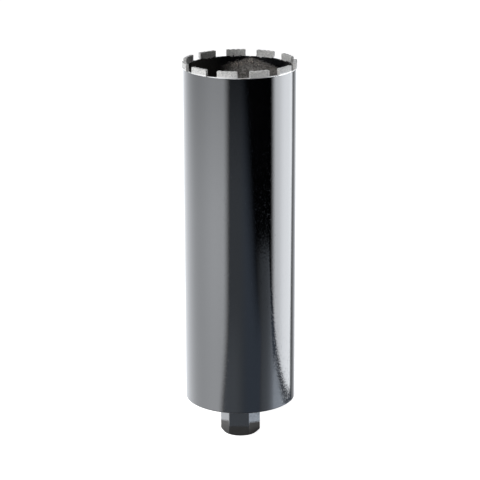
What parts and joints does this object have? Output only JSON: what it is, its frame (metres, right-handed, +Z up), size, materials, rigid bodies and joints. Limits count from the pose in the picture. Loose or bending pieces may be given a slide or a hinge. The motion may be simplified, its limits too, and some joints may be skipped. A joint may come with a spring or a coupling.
{
  "type": "diamond core bit",
  "caption": "Wet core bit: open steel barrel with sintered diamond segments spaced round its rim and a hexagonal threaded hub welded below.",
  "frame": {"origin": "centre of the hub's lower face, on the axis, where the bit stands", "axes": "+Z up the axis from the hub to the cutting rim; -Y is the side that the picture shows in front, and +X is on its right"},
  "size_m": [0.132, 0.1319, 0.454],
  "materials": {
    "black_paint": "gloss",
    "sintered_metal": "matt, speckled"
  },
  "bodies": {
    "root": {"barrel": "black_paint", "back_plate": "black_paint", "hub": "black_paint", "segment_01": "sintered_metal", "segment_02": "sintered_metal", "segment_03": "sintered_metal", "segment_04": "sintered_metal", "segment_05": "sintered_metal", "segment_06": "sintered_metal", "segment_07": "sintered_metal", "segment_08": "sintered_metal", "segment_09": "sintered_metal", "segment_10": "sintered_metal", "segment_11": "sintered_metal"}
  },
  "joints": []
}
